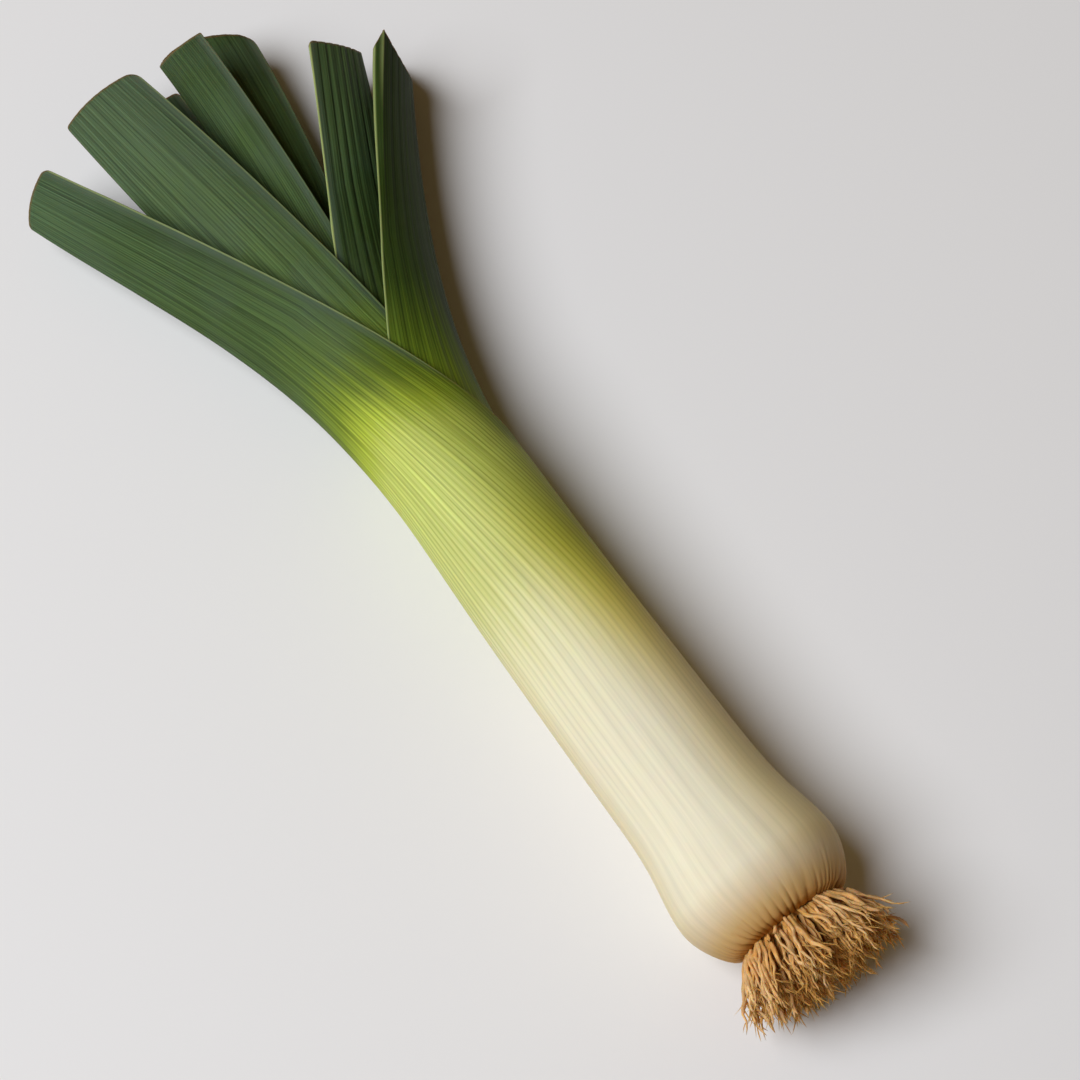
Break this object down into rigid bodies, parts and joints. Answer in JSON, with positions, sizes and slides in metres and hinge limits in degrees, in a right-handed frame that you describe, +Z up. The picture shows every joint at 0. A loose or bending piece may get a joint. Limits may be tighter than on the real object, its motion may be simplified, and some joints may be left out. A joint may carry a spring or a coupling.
{
  "type": "leek",
  "caption": "Trimmed leek lying on a surface: white shaft with a root plate and fibrous roots, and folded dark green leaves fanning out in two ranks.",
  "frame": {"origin": "on the surface the leek lies on, below the middle of its bounding box", "axes": "+X along the shaft from the roots to the leaf tips, +Y towards the rank of leaves that continues the shaft's outer skin, +Z up from the surface the leek lies on"},
  "size_m": [0.3359, 0.1186, 0.0499],
  "materials": {
    "shaft": "satin",
    "leaf": "satin",
    "root_plate": "matte",
    "root": "matte"
  },
  "bodies": {
    "root": {"shaft_with_outer_leaf": "shaft", "leaf_right_outer": "leaf", "leaf_left_middle": "leaf", "leaf_right_inner": "leaf", "leaf_left_heart": "leaf", "root_plate": "root_plate", "root_01": "root", "root_02": "root", "root_03": "root", "root_04": "root", "root_05": "root", "root_06": "root", "root_07": "root", "root_08": "root", "root_09": "root", "root_10": "root", "root_11": "root", "root_12": "root", "root_13": "root", "root_14": "root", "root_15": "root", "root_16": "root", "root_17": "root", "root_18": "root", "root_19": "root", "root_20": "root", "root_21": "root", "root_22": "root", "root_23": "root", "root_24": "root", "root_25": "root", "root_26": "root", "root_27": "root", "root_28": "root", "root_29": "root", "root_30": "root", "root_31": "root", "root_32": "root", "root_33": "root", "root_34": "root", "root_35": "root", "root_36": "root"}
  },
  "joints": []
}
